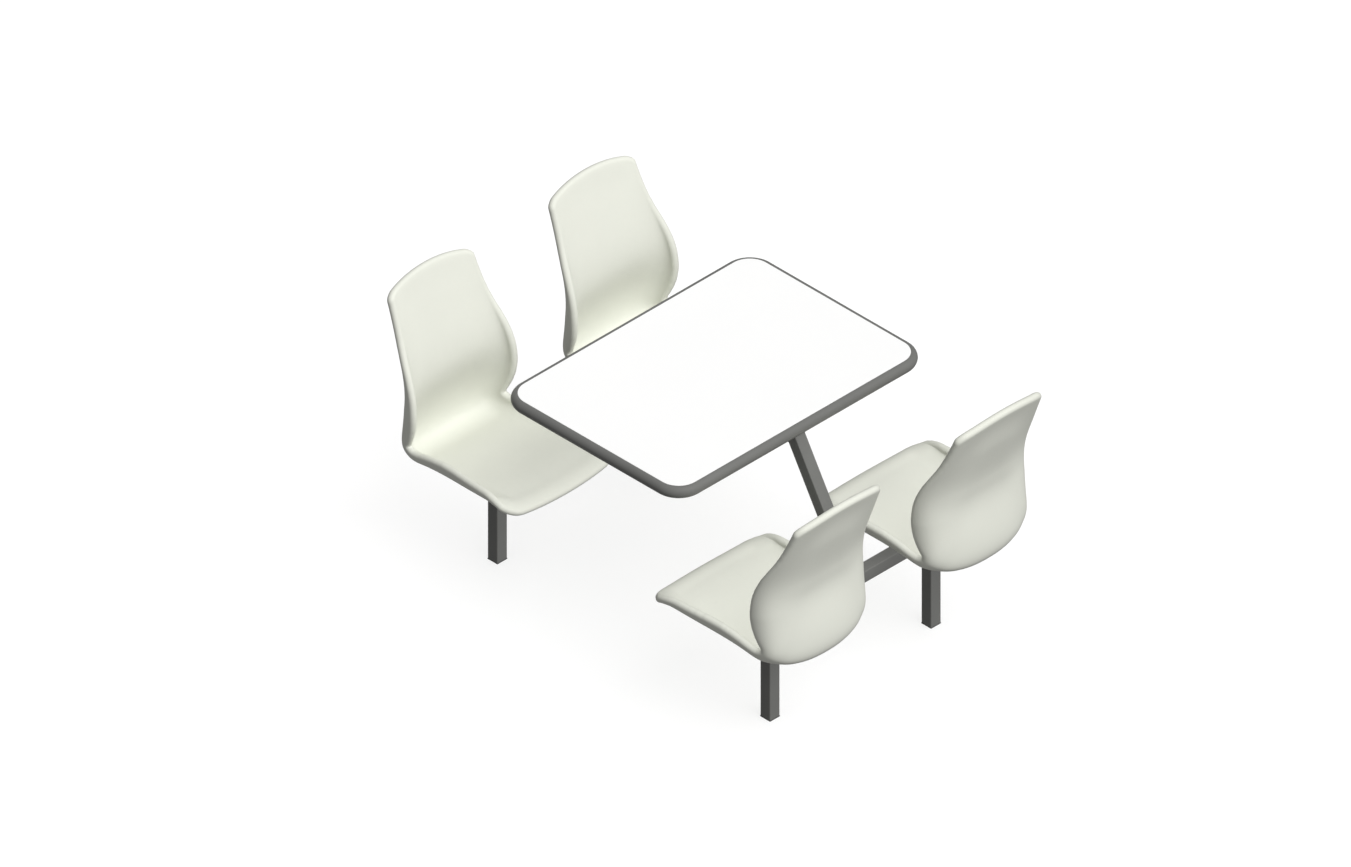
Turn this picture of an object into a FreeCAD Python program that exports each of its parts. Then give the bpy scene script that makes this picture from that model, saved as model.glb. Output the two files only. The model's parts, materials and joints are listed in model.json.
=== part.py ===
import FreeCAD
import Part
import math
import os

from FreeCAD import Vector

# Canteen table for four: a laminated top on two slanting struts, and four
# moulded bucket seats on posts, each on its own self-centring swivel.
# Millimetres. +X along the table, +Z up, origin on the floor under the middle.

# Tabletop
table_height = 765.0          # floor to the top face
top_length = 1015.0           # along X, over the edge band
top_width = 728.0             # along Y, over the edge band
top_thickness = 40.0
corner_radius = 85.0          # plan corner, over the edge band
laminate_thickness = 1.0      # decor sheet above, backer sheet below
tongue_length = 12.0          # barb that holds the edge band in the board
tongue_thickness = 3.0
tongue_clearance = 0.2

# Square tube frame
tube_size = 40.0
tube_wall = 2.5
post_pitch_x = 650.0          # seat to seat along one side
post_pitch_y = 1100.0         # side to side across the table
post_top = 333.0              # the rails' top is level with the posts
strut_head_inset = 18.0       # each strut's outer face, inside the top's edge
bearer_height = 30.0          # tube under the top, between the struts
top_plate_length = 360.0      # flat bar across each strut's head
top_plate_width = 74.0
top_plate_thickness = 4.0
foot_flange = 3.0
foot_plug_length = 20.0
plug_clearance = 0.2          # each side, plastic or steel plug inside a tube

# Table screws
table_screw_radius = 2.5
table_screw_hole = 2.8
table_screw_head = 10.0       # across flats
table_screw_head_height = 4.0
table_screw_depth = 18.0      # into the board
table_screw_pitch = 300.0

# Swivel unit, one in each post
swivel_range = 25.0           # degrees each way, to the stops
flange_size = 60.0
flange_thickness = 5.0
flange_corner = 8.0
housing_depth = 100.0         # plug length inside the post
housing_bore = 14.0           # radius
spindle_radius = 10.0
running_clearance = 0.05      # radial, spindle in its bushes
press_clearance = 0.02        # radial, pieces pressed into the housing
bush_length = 30.0
bush_flange_radius = 17.0
bush_flange_thickness = 2.0
thrust_gap = 0.1
sleeve_end_gap = 0.5
spindle_tail = 10.0           # past the lower bush
circlip_thickness = 1.75
circlip_radius = 13.5
circlip_opening = 40.0        # degrees
groove_depth = 0.95
groove_clearance = 0.05
stop_pin_radius = 3.0
stop_pin_offset = 25.5        # from the swivel axis
stop_clearance = 0.3

# Seat plate and its fixings
plate_length = 176.0          # across the seat
plate_width = 146.0
plate_thickness = 5.0
plate_corner = 16.0
boss_pitch_x = 144.0
boss_pitch_y = 112.0
boss_size = 20.0              # square, moulded under the pan
boss_hole_depth = 12.0
seat_screw_radius = 3.0
seat_screw_hole = 3.3
seat_screw_grip = 10.5        # thread inside the boss
seat_screw_head = 10.0        # across flats
seat_screw_head_height = 4.0

# Seat shell. Stations run from the front lip, under the sitter and up the
# back. Each gives the middle of the sitting surface (y forward, z above the
# seat height), the rim beside it (half width, y, z) and how square the
# section is between them: 2 is an ellipse, 5 a flat pan with upright sides.
seat_rise = 28.9              # sitting surface over the post, above the seat plate
shell_wall = 7.0
rim_bead = 5.0                # the wall is thicker by this much all round its edge
bead_stations = 1.0           # the thicker stretch, at the lip and at the top
shell_stations = [
    ((312, -12), (205, 300, 5), 3.4),
    ((250, 17), (214, 238, 33), 3.8),
    ((190, 21.5), (217, 184, 49), 4.6),
    ((110, 15), (214, 104, 53), 4.9),
    ((0, 0), (204, -4, 52), 4.8),
    ((-120, -22), (194, -98, 36), 3.2),
    ((-203, -37), (190, -152, 32), 2.35),
    ((-223, -29), (189, -161, 40), 2.25),
    ((-231, -8), (189, -159, 51), 2.3),
    ((-231, 31), (191, -149, 67), 2.4),
    ((-202, 141), (194, -126, 134), 2.8),
    ((-188, 206), (192, -130, 208), 3.0),
    ((-219, 346), (175, -195, 354), 2.8),
    ((-297, 536), (163, -283, 542), 2.5),
]
lip_reach = 287.0             # front edge, in front of the post
lip_bow = 16.0                # the middle of the edge before its ends
lip_half_width = 225.0
lip_corner = 62.0
back_reach = 520.0            # top edge above the seat height
back_bow = 30.0
back_half_width = 183.0       # at the start of the trimmed part
back_half_top = 171.0
back_corner = 34.0
back_trim_height = 125.0      # the trimmed part of the back

# Build settings
spine_sections = 24
section_points = 8            # from the middle of a section to its rim
length_share = 0.6            # of their spacing, the rest by turn
outline_steps = 400           # fine steps that the section points are chosen from
upright_tolerance = 1e-6      # mm off the upright

# Derived sizes
post_x = post_pitch_x / 2
post_y = post_pitch_y / 2
half_tube = tube_size / 2
edge_radius = top_thickness / 2
flat_length = top_length - 2 * edge_radius
flat_width = top_width - 2 * edge_radius
flat_corner = corner_radius - edge_radius
top_underside = table_height - top_thickness
plate_underside = top_underside - top_plate_thickness
strut_foot_y = post_y + half_tube
strut_head_y = top_width / 2 - strut_head_inset
strut_run = (strut_foot_y - strut_head_y) / (plate_underside - post_top)
strut_stretch = math.hypot(1, strut_run)      # level cut through a leaning tube
strut_cut = tube_size * strut_stretch
wall_cut = tube_wall * strut_stretch
flange_top = post_top + flange_thickness
plate_bottom = flange_top + bush_flange_thickness + thrust_gap
plate_top = plate_bottom + plate_thickness
seat_height = plate_top + seat_rise
housing_bottom = post_top - housing_depth
circlip_bottom = housing_bottom - thrust_gap - circlip_thickness
plug_half = half_tube - tube_wall - plug_clearance

seat_places = {
    "front_left": (-post_x, -post_y, 0.0),
    "front_right": (post_x, -post_y, 0.0),
    "rear_left": (-post_x, post_y, 180.0),
    "rear_right": (post_x, post_y, 180.0),
}


def block(size_x, size_y, size_z, bottom, centre_x=0.0, centre_y=0.0):
    corner = Vector(centre_x - size_x / 2, centre_y - size_y / 2, bottom)
    return Part.makeBox(size_x, size_y, size_z, corner)


def disc(radius, bottom, top, centre_x=0.0, centre_y=0.0):
    base = Vector(centre_x, centre_y, bottom)
    return Part.makeCylinder(radius, top - bottom, base)


def upright_edges(solid):
    found = []
    for edge in solid.Edges:
        ends = [vertex.Point for vertex in edge.Vertexes]
        if len(ends) == 2 and (ends[0] - ends[1]).cross(Vector(0, 0, 1)).Length < upright_tolerance:
            found.append(edge)
    return found


def rounded_block(size_x, size_y, size_z, bottom, radius):
    solid = block(size_x, size_y, size_z, bottom)
    return solid.makeFillet(radius, upright_edges(solid))


def prism_across(points, width, centre_x=0.0):
    """Closed outline of (y, z) points, made solid along X."""
    corners = [Vector(centre_x - width / 2, y, z) for y, z in points]
    face = Part.Face(Part.makePolygon(corners + corners[:1]))
    return face.extrude(Vector(width, 0, 0))


def ring_round_top(profile):
    """Carry a face drawn at the long edge's middle once round the tabletop.

    The face lies in the Y-Z plane, its y measured outwards from the edge of
    the flat top and its z from the middle of the board.
    """
    middle = top_underside + edge_radius
    straight_x = flat_length - 2 * flat_corner
    straight_y = flat_width - 2 * flat_corner
    pieces = []
    for turn, reach, run in (
        (0, flat_width / 2, straight_x),
        (90, flat_length / 2, straight_y),
        (180, flat_width / 2, straight_x),
        (270, flat_length / 2, straight_y),
    ):
        face = profile.copy()
        face.translate(Vector(-run / 2, reach, middle))
        side = face.extrude(Vector(run, 0, 0))
        face.translate(Vector(run, 0, 0))
        centre = Vector(run / 2, reach - flat_corner, middle)
        corner = face.revolve(centre, Vector(0, 0, 1), -90)
        for piece in (side, corner):
            piece.rotate(Vector(0, 0, 0), Vector(0, 0, 1), turn)
            pieces.append(piece)
    return pieces[0].fuse(pieces[1:]).removeSplitter()


def half_round_with_tongue():
    arc = Part.Arc(
        Vector(0, 0, -edge_radius), Vector(0, edge_radius, 0), Vector(0, 0, edge_radius)
    ).toShape()
    half = tongue_thickness / 2
    corners = [
        Vector(0, 0, edge_radius),
        Vector(0, 0, half),
        Vector(0, -tongue_length, half),
        Vector(0, -tongue_length, -half),
        Vector(0, 0, -half),
        Vector(0, 0, -edge_radius),
    ]
    back = Part.makePolygon(corners)
    return Part.Face(Part.Wire([arc] + back.Edges))


def groove_profile():
    half = tongue_thickness / 2 + tongue_clearance
    depth = tongue_length + tongue_clearance
    corners = [
        Vector(0, tongue_clearance, half),
        Vector(0, -depth, half),
        Vector(0, -depth, -half),
        Vector(0, tongue_clearance, -half),
    ]
    return Part.Face(Part.makePolygon(corners + corners[:1]))


def hexagon_head(across_flats, height, bottom, centre_x, centre_y):
    corner = across_flats / math.sqrt(3)
    points = []
    for step in range(6):
        angle = math.radians(60 * step)
        x = centre_x + corner * math.cos(angle)
        y = centre_y + corner * math.sin(angle)
        points.append(Vector(x, y, bottom))
    return Part.Face(Part.makePolygon(points + points[:1])).extrude(Vector(0, 0, height))


def screw_places():
    """Four table screws, two through each top plate."""
    centre_y = strut_head_y - top_plate_width / 2
    return [(end * table_screw_pitch / 2, side * centre_y)
            for side in (-1, 1) for end in (-1, 1)]


def make_top():
    sheet = [flat_length, flat_width, laminate_thickness]
    laminate = rounded_block(*sheet, table_height - laminate_thickness, flat_corner)
    backer = rounded_block(*sheet, top_underside, flat_corner)
    core_height = top_thickness - 2 * laminate_thickness
    core_bottom = top_underside + laminate_thickness
    core = rounded_block(flat_length, flat_width, core_height, core_bottom, flat_corner)
    core = core.cut(ring_round_top(groove_profile()))
    hole_top = top_underside + table_screw_depth
    for x, y in screw_places():
        hole = disc(table_screw_radius, top_underside, hole_top, x, y)
        core = core.cut(hole)
        backer = backer.cut(hole)
    return {
        "tabletop_board": core,
        "tabletop_laminate": laminate,
        "tabletop_backer": backer,
        "tabletop_edge_band": ring_round_top(half_round_with_tongue()),
    }


def square_tube(size, wall, length):
    """Along +Z from the floor."""
    outer = block(size, size, length, 0)
    inner = block(size - 2 * wall, size - 2 * wall, length, 0)
    return outer.cut(inner)


def make_post(x, y):
    tube = square_tube(tube_size, tube_wall, post_top - foot_flange)
    tube.translate(Vector(x, y, foot_flange))
    return tube


def make_foot(x, y):
    flange = block(tube_size, tube_size, foot_flange, 0, x, y)
    plug = block(2 * plug_half, 2 * plug_half, foot_plug_length, foot_flange, x, y)
    return flange.fuse(plug).removeSplitter()


def make_rail(side):
    length = post_pitch_x - tube_size
    tube = square_tube(tube_size, tube_wall, length)
    tube.rotate(Vector(0, 0, 0), Vector(0, 1, 0), 90)
    tube.translate(Vector(-length / 2, side * post_y, post_top - half_tube))
    return tube


def strut_outline(outer_y, cut):
    """Slanting stretch between the rail's top and the top plate."""
    lean = strut_foot_y - strut_head_y
    return [
        (outer_y, post_top),
        (outer_y - lean, plate_underside),
        (outer_y - lean - cut, plate_underside),
        (outer_y - cut, post_top),
    ]


def make_strut(side):
    outer = prism_across(strut_outline(strut_foot_y, strut_cut), tube_size)
    bore = strut_outline(strut_foot_y - wall_cut, strut_cut - 2 * wall_cut)
    inner = prism_across(bore, tube_size - 2 * tube_wall)
    strut = outer.cut(inner)
    if side < 0:
        strut = strut.mirror(Vector(0, 0, 0), Vector(0, 1, 0))
    return strut


def make_bearer():
    """Tube under the top, its ends cut to the slope of the struts."""
    top_y = strut_head_y - strut_cut
    low = plate_underside - bearer_height
    low_y = top_y + bearer_height * strut_run
    outline = [(-low_y, low), (low_y, low), (top_y, plate_underside), (-top_y, plate_underside)]
    outer = prism_across(outline, tube_size)
    bore_x = tube_size - 2 * tube_wall
    bore_y = 2 * (low_y + tube_size)              # past both ends
    bore_z = bearer_height - 2 * tube_wall
    return outer.cut(block(bore_x, bore_y, bore_z, low + tube_wall))


def make_top_plate(side):
    centre_y = strut_head_y - top_plate_width / 2
    plate = block(top_plate_length, top_plate_width, top_plate_thickness, plate_underside,
                  0, side * centre_y)
    for x, y in screw_places():
        plate = plate.cut(disc(table_screw_hole, plate_underside, top_underside, x, y))
    return plate


def make_table_screws():
    tip = top_underside + table_screw_depth
    screws = []
    for x, y in screw_places():
        shank = disc(table_screw_radius - press_clearance, plate_underside, tip, x, y)
        head = hexagon_head(table_screw_head, table_screw_head_height,
                            plate_underside - table_screw_head_height, x, y)
        screws.append(shank.fuse(head).removeSplitter())
    return Part.makeCompound(screws)


def make_housing():
    flange = rounded_block(flange_size, flange_size, flange_thickness, post_top, flange_corner)
    plug = block(2 * plug_half, 2 * plug_half, housing_depth, housing_bottom)
    housing = flange.fuse(plug).removeSplitter()
    housing = housing.cut(disc(housing_bore, housing_bottom, flange_top))
    return housing.cut(disc(stop_pin_radius, post_top, flange_top, 0, -stop_pin_offset))


def make_stop_pin():
    return disc(stop_pin_radius - press_clearance, post_top, plate_top - stop_clearance,
                0, -stop_pin_offset)


def make_bushes():
    """One at each end of the housing; the flange of the upper one carries the seat."""
    outer = housing_bore - press_clearance
    upper = disc(outer, flange_top - bush_length, flange_top)
    upper = upper.fuse(disc(bush_flange_radius, flange_top, flange_top + bush_flange_thickness))
    lower = disc(outer, housing_bottom, housing_bottom + bush_length)
    bore = disc(spindle_radius + running_clearance, housing_bottom, plate_bottom)
    return Part.makeCompound([part.removeSplitter().cut(bore) for part in (upper, lower)])


def make_sleeve():
    """Rubber torsion sleeve that brings the seat back to face the table."""
    bottom = housing_bottom + bush_length + sleeve_end_gap
    top = flange_top - bush_length - sleeve_end_gap
    sleeve = disc(housing_bore - press_clearance, bottom, top)
    return sleeve.cut(disc(spindle_radius + running_clearance, bottom, top))


def make_spindle():
    """Shaft welded flush into the seat plate, grooved below for the circlip."""
    spindle = disc(spindle_radius, housing_bottom - spindle_tail, plate_top)
    low = circlip_bottom - groove_clearance
    high = circlip_bottom + circlip_thickness + groove_clearance
    groove = disc(2 * spindle_radius, low, high)
    groove = groove.cut(disc(spindle_radius - groove_depth, low, high))
    return spindle.cut(groove)


def make_circlip():
    low = circlip_bottom
    high = low + circlip_thickness
    ring = disc(circlip_radius, low, high)
    ring = ring.cut(disc(spindle_radius - groove_depth + groove_clearance, low, high))
    reach = 2 * circlip_radius
    half = math.radians(circlip_opening / 2)
    corners = [
        Vector(0, 0, low),
        Vector(reach * math.cos(half), -reach * math.sin(half), low),
        Vector(reach * math.cos(half), reach * math.sin(half), low),
    ]
    wedge = Part.Face(Part.makePolygon(corners + corners[:1])).extrude(Vector(0, 0, high - low))
    return ring.cut(wedge)


def boss_places():
    return [(side_x * boss_pitch_x / 2, side_y * boss_pitch_y / 2)
            for side_x in (-1, 1) for side_y in (-1, 1)]


def stop_slot():
    """Curved slot in the seat plate, which the stop pin ends at each limit."""
    half_width = stop_pin_radius + stop_clearance
    ring = disc(stop_pin_offset + half_width, plate_bottom, plate_top)
    ring = ring.cut(disc(stop_pin_offset - half_width, plate_bottom, plate_top))
    half = math.radians(swivel_range)
    reach = 4 * stop_pin_offset
    corners = [
        Vector(0, 0, plate_bottom),
        Vector(-reach * math.sin(half), -reach * math.cos(half), plate_bottom),
        Vector(reach * math.sin(half), -reach * math.cos(half), plate_bottom),
    ]
    sector = Part.Face(Part.makePolygon(corners + corners[:1]))
    slot = ring.common(sector.extrude(Vector(0, 0, plate_thickness)))
    for end in (-1, 1):
        x = end * stop_pin_offset * math.sin(half)
        y = -stop_pin_offset * math.cos(half)
        slot = slot.fuse(disc(half_width, plate_bottom, plate_top, x, y))
    return slot


def make_seat_plate():
    plate = rounded_block(plate_length, plate_width, plate_thickness, plate_bottom, plate_corner)
    plate = plate.cut(disc(spindle_radius + press_clearance, plate_bottom, plate_top))
    for x, y in boss_places():
        plate = plate.cut(disc(seat_screw_hole, plate_bottom, plate_top, x, y))
    return plate.cut(stop_slot())


def make_seat_screws():
    screws = []
    for x, y in boss_places():
        head = hexagon_head(seat_screw_head, seat_screw_head_height,
                            plate_bottom - seat_screw_head_height, x, y)
        shank = disc(seat_screw_radius - press_clearance, plate_bottom,
                     plate_top + seat_screw_grip, x, y)
        screws.append(head.fuse(shank).removeSplitter())
    return Part.makeCompound(screws)


def curve_through(points):
    curve = Part.BSplineCurve()
    curve.interpolate(points)
    return curve


def shell_sections():
    """Stations evened out along smooth curves through the given ones."""
    spine = curve_through([Vector(0, y, z + seat_height) for (y, z), rim, power in shell_stations])
    rims = curve_through([Vector(w, y, z + seat_height) for mid, (w, y, z), power in shell_stations])
    powers = [power for mid, rim, power in shell_stations]
    spine_marks = [spine.parameter(Vector(0, y, z + seat_height))
                   for (y, z), rim, power in shell_stations]
    rim_marks = [rims.parameter(Vector(w, y, z + seat_height))
                 for mid, (w, y, z), power in shell_stations]
    last = len(shell_stations) - 1
    sections = []
    for step in range(spine_sections):
        place = step * last / (spine_sections - 1)
        index = min(int(place), last - 1)
        share = place - index
        spine_mark = spine_marks[index] + share * (spine_marks[index + 1] - spine_marks[index])
        rim_mark = rim_marks[index] + share * (rim_marks[index + 1] - rim_marks[index])
        power = powers[index] + share * (powers[index + 1] - powers[index])
        from_end = min(place, last - place)
        bead = rim_bead * max(0, 1 - from_end / bead_stations)
        sections.append((spine.value(spine_mark), rims.value(rim_mark), power, bead))
    return sections


def half_section(width, depth, power):
    """Points (across, up) from the middle of a section out to its rim.

    They are spread by length and by turn, so the tight corner gets its share.
    """
    outline = []
    for step in range(outline_steps + 1):
        angle = step / outline_steps * math.pi / 2
        across = width * math.sin(angle) ** (2 / power)
        up = depth * (1 - math.cos(angle) ** (2 / power))
        outline.append((across, up))
    steps = [math.dist(before, after) for before, after in zip(outline, outline[1:])]
    marks = [0.0]
    travelled = 0.0
    for index, length in enumerate(steps):
        travelled += length
        before, after = outline[index], outline[index + 1]
        turn = math.atan2(after[1] - before[1], after[0] - before[0]) / (math.pi / 2)
        marks.append(length_share * travelled / sum(steps) + (1 - length_share) * turn)
    points = []
    index = 0
    for step in range(section_points + 1):
        target = marks[-1] * step / section_points
        while index < outline_steps - 1 and marks[index + 1] < target:
            index += 1
        share = (target - marks[index]) / (marks[index + 1] - marks[index])
        points.append(tuple(a + share * (b - a) for a, b in zip(outline[index], outline[index + 1])))
    return points


def section_loop(middle, rim, power, bead):
    """Sitting side of one section, then back along its thicker-rimmed underside."""
    rise = Vector(0, rim.y - middle.y, rim.z - middle.z)
    half = half_section(rim.x, rise.Length, power)
    rise.normalize()
    line = [(-across, up) for across, up in reversed(half[1:])] + half
    upper = []
    lower = []
    last = len(line) - 1
    for index, (across, up) in enumerate(line):
        before = line[max(index - 1, 0)]
        after = line[min(index + 1, last)]
        run_x = after[0] - before[0]
        run_up = after[1] - before[1]
        extra = rim_bead if index in (0, last) else bead
        wall = (shell_wall + extra) / math.hypot(run_x, run_up)
        upper.append(middle + Vector(across, 0, 0) + rise * up)
        lower.append(middle + Vector(across + run_up * wall, 0, 0) + rise * (up - run_x * wall))
    return upper + lower[::-1]


def shell_blank():
    """Untrimmed shell, in flat strips from section to section."""
    wires = []
    for section in shell_sections():
        loop = section_loop(*section)
        wires.append(Part.makePolygon(loop + loop[:1]))
    return Part.makeLoft(wires, True, True)


def lip_trim():
    """What is cut away round the front edge, seen from above."""
    far = 2 * lip_reach
    low = seat_height - far / 4
    end_y = lip_reach - lip_bow
    start_y = end_y - 2 * lip_corner
    front = Part.Arc(Vector(-lip_half_width, end_y, low), Vector(0, lip_reach, low),
                     Vector(lip_half_width, end_y, low)).toShape()
    sides = Part.makePolygon([
        Vector(lip_half_width, end_y, low),
        Vector(lip_half_width, start_y, low),
        Vector(-lip_half_width, start_y, low),
        Vector(-lip_half_width, end_y, low),
    ])
    keep = Part.Face(Part.Wire([front] + sides.Edges)).extrude(Vector(0, 0, far / 2))
    middle_y = (start_y + end_y) / 2
    corners = [edge for edge in upright_edges(keep) if edge.CenterOfMass.y > middle_y]
    keep = keep.makeFillet(lip_corner, corners)
    return block(far, far, far / 2, low, 0, start_y + far / 2).cut(keep)


def back_trim():
    """What is cut away round the top of the back, seen from the front."""
    far = 2 * back_reach
    front = -back_reach
    peak = seat_height + back_reach
    shoulder = peak - back_bow
    start = peak - back_trim_height
    arch = Part.Arc(Vector(-back_half_top, front, shoulder), Vector(0, front, peak),
                    Vector(back_half_top, front, shoulder)).toShape()
    sides = Part.makePolygon([
        Vector(back_half_top, front, shoulder),
        Vector(back_half_width, front, start),
        Vector(-back_half_width, front, start),
        Vector(-back_half_top, front, shoulder),
    ])
    keep = Part.Face(Part.Wire([arch] + sides.Edges)).extrude(Vector(0, back_reach, 0))
    middle_z = (start + shoulder) / 2
    corners = []
    for edge in keep.Edges:
        along_y = edge.BoundBox.YLength > back_reach / 2
        if along_y and edge.CenterOfMass.z > middle_z:
            corners.append(edge)
    keep = keep.makeFillet(back_corner, corners)
    waste = Part.makeBox(far, back_reach, far, Vector(-far / 2, front, start))
    return waste.cut(keep)


def make_shell():
    """Bucket seat with four bosses moulded under the pan."""
    shell = shell_blank().cut(lip_trim()).cut(back_trim())
    spine = curve_through([Vector(0, y, z + seat_height) for (y, z), rim, power in shell_stations])
    for x, y in boss_places():
        plane = Part.Plane(Vector(0, y, 0), Vector(0, 1, 0))
        crossing = min(spine.intersect(plane)[0], key=lambda point: point.Z)
        height = crossing.Z - shell_wall / 2 - plate_top
        boss = block(boss_size, boss_size, height, plate_top, x, y)
        shell = shell.fuse(boss)
    for x, y in boss_places():
        hole = disc(seat_screw_radius, plate_top, plate_top + boss_hole_depth, x, y)
        shell = shell.cut(hole)
    return shell


def place(solid, x, y, turn):
    placed = solid.copy()
    placed.rotate(Vector(0, 0, 0), Vector(0, 0, 1), turn)
    placed.translate(Vector(x, y, 0))
    return placed


def main():
    os.makedirs("parts", exist_ok=True)
    nodes = make_top()
    for name, side in (("front", -1), ("rear", 1)):
        nodes[name + "_rail"] = make_rail(side)
        nodes[name + "_strut"] = make_strut(side)
        nodes[name + "_top_plate"] = make_top_plate(side)
    nodes["top_bearer"] = make_bearer()
    nodes["table_screws"] = make_table_screws()
    feet = []
    unit = {
        "swivel_housing": make_housing(),
        "stop_pin": make_stop_pin(),
        "swivel_bushes": make_bushes(),
        "return_sleeve": make_sleeve(),
        "spindle": make_spindle(),
        "circlip": make_circlip(),
        "seat_plate": make_seat_plate(),
        "seat_screws": make_seat_screws(),
        "seat_shell": make_shell(),
    }
    for seat, (x, y, turn) in seat_places.items():
        nodes["post_" + seat] = make_post(x, y)
        feet.append(make_foot(x, y))
        for name, solid in unit.items():
            nodes[name + "_" + seat] = place(solid, x, y, turn)
    nodes["post_feet"] = Part.makeCompound(feet)
    for name, shape in nodes.items():
        shape.exportStep("parts/" + name + ".step")
    print(len(nodes), "nodes")


main()
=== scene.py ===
import bpy
import bmesh
import json
import math
import numpy as np
from mathutils import Matrix, Vector


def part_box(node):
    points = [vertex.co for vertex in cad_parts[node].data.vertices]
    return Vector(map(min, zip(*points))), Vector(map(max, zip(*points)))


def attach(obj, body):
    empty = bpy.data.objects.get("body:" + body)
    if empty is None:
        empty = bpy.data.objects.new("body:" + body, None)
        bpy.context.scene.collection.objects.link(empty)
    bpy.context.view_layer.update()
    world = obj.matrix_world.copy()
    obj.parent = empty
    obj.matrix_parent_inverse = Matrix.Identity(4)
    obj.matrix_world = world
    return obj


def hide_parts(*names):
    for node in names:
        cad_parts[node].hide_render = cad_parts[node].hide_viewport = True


# Canteen table with four swivel seats. Metres, +X along the table, +Z up.

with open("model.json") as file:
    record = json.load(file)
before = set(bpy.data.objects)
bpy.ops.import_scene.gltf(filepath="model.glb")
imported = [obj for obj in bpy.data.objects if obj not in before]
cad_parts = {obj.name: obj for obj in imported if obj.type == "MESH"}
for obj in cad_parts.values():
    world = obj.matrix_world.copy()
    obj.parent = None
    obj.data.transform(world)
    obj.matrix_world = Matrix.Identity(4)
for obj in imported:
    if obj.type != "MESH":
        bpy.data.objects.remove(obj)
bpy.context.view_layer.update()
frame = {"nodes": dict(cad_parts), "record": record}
nodes = frame["nodes"]
seatSides = {"front_left": -1, "front_right": -1, "rear_left": 1, "rear_right": 1}  # in Y
meshing = {
    "mergeWithin": 1e-6,
    "sharpAngle": 35,  # degrees, from which an edge stays sharp
}
print("stage: frame loaded,", len(nodes), "nodes")


def newPiece(name, points, faces, material, body, slot, stands=()):
    mesh = bpy.data.meshes.new(name)
    mesh.from_pydata([tuple(point) for point in points], [], faces)
    finishPiece(name, mesh, material, body, stands)


def finishPiece(name, mesh, material, body, stands=()):
    work = bmesh.new()
    work.from_mesh(mesh)
    bmesh.ops.remove_doubles(work, verts=work.verts, dist=meshing["mergeWithin"])
    bmesh.ops.recalc_face_normals(work, faces=work.faces)
    work.to_mesh(mesh)
    work.free()
    for polygon in mesh.polygons:
        polygon.use_smooth = True
    mesh.set_sharp_from_angle(angle=math.radians(meshing["sharpAngle"]))
    mesh.materials.clear()
    mesh.materials.append(material)
    piece = bpy.data.objects.new(name, mesh)
    bpy.context.scene.collection.objects.link(piece)
    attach(piece, body)
    if stands:
        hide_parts(*stands)


def boxOf(node):
    low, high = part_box(node)
    return Vector(low), Vector(high)


def roundedLoop(halfX, halfY, corner, steps):  # closed outline in X and Y
    points = []
    for quarter, (signX, signY) in enumerate(((1, 1), (-1, 1), (-1, -1), (1, -1))):
        for step in range(steps + 1):
            angle = math.pi / 2 * (quarter + step / steps)
            points.append((signX * (halfX - corner) + corner * math.cos(angle),
                           signY * (halfY - corner) + corner * math.sin(angle)))
    return points


def stackFaces(loops):  # skin over equal loops, closed by a cap at each end
    count = len(loops[0])
    faces = [tuple(range(count))[::-1]]
    for level in range(len(loops) - 1):
        for index in range(count):
            follow = (index + 1) % count
            faces.append((level * count + index, level * count + follow,
                          (level + 1) * count + follow, (level + 1) * count + index))
    faces.append(tuple((len(loops) - 1) * count + index for index in range(count)))
    return [point for loop in loops for point in loop], faces


class NodeWriter:  # short ways to write a node tree
    def put(self, value, socket):
        if isinstance(value, bpy.types.NodeSocket):
            self.tree.links.new(value, socket)
        else:
            socket.default_value = value

    def node(self, kind, inputs, output=0, **settings):
        made = self.tree.nodes.new(kind)
        for label, value in settings.items():
            setattr(made, label, value)
        for label, value in inputs.items():
            self.put(value, made.inputs[label])
        return made.outputs[output]


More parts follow.
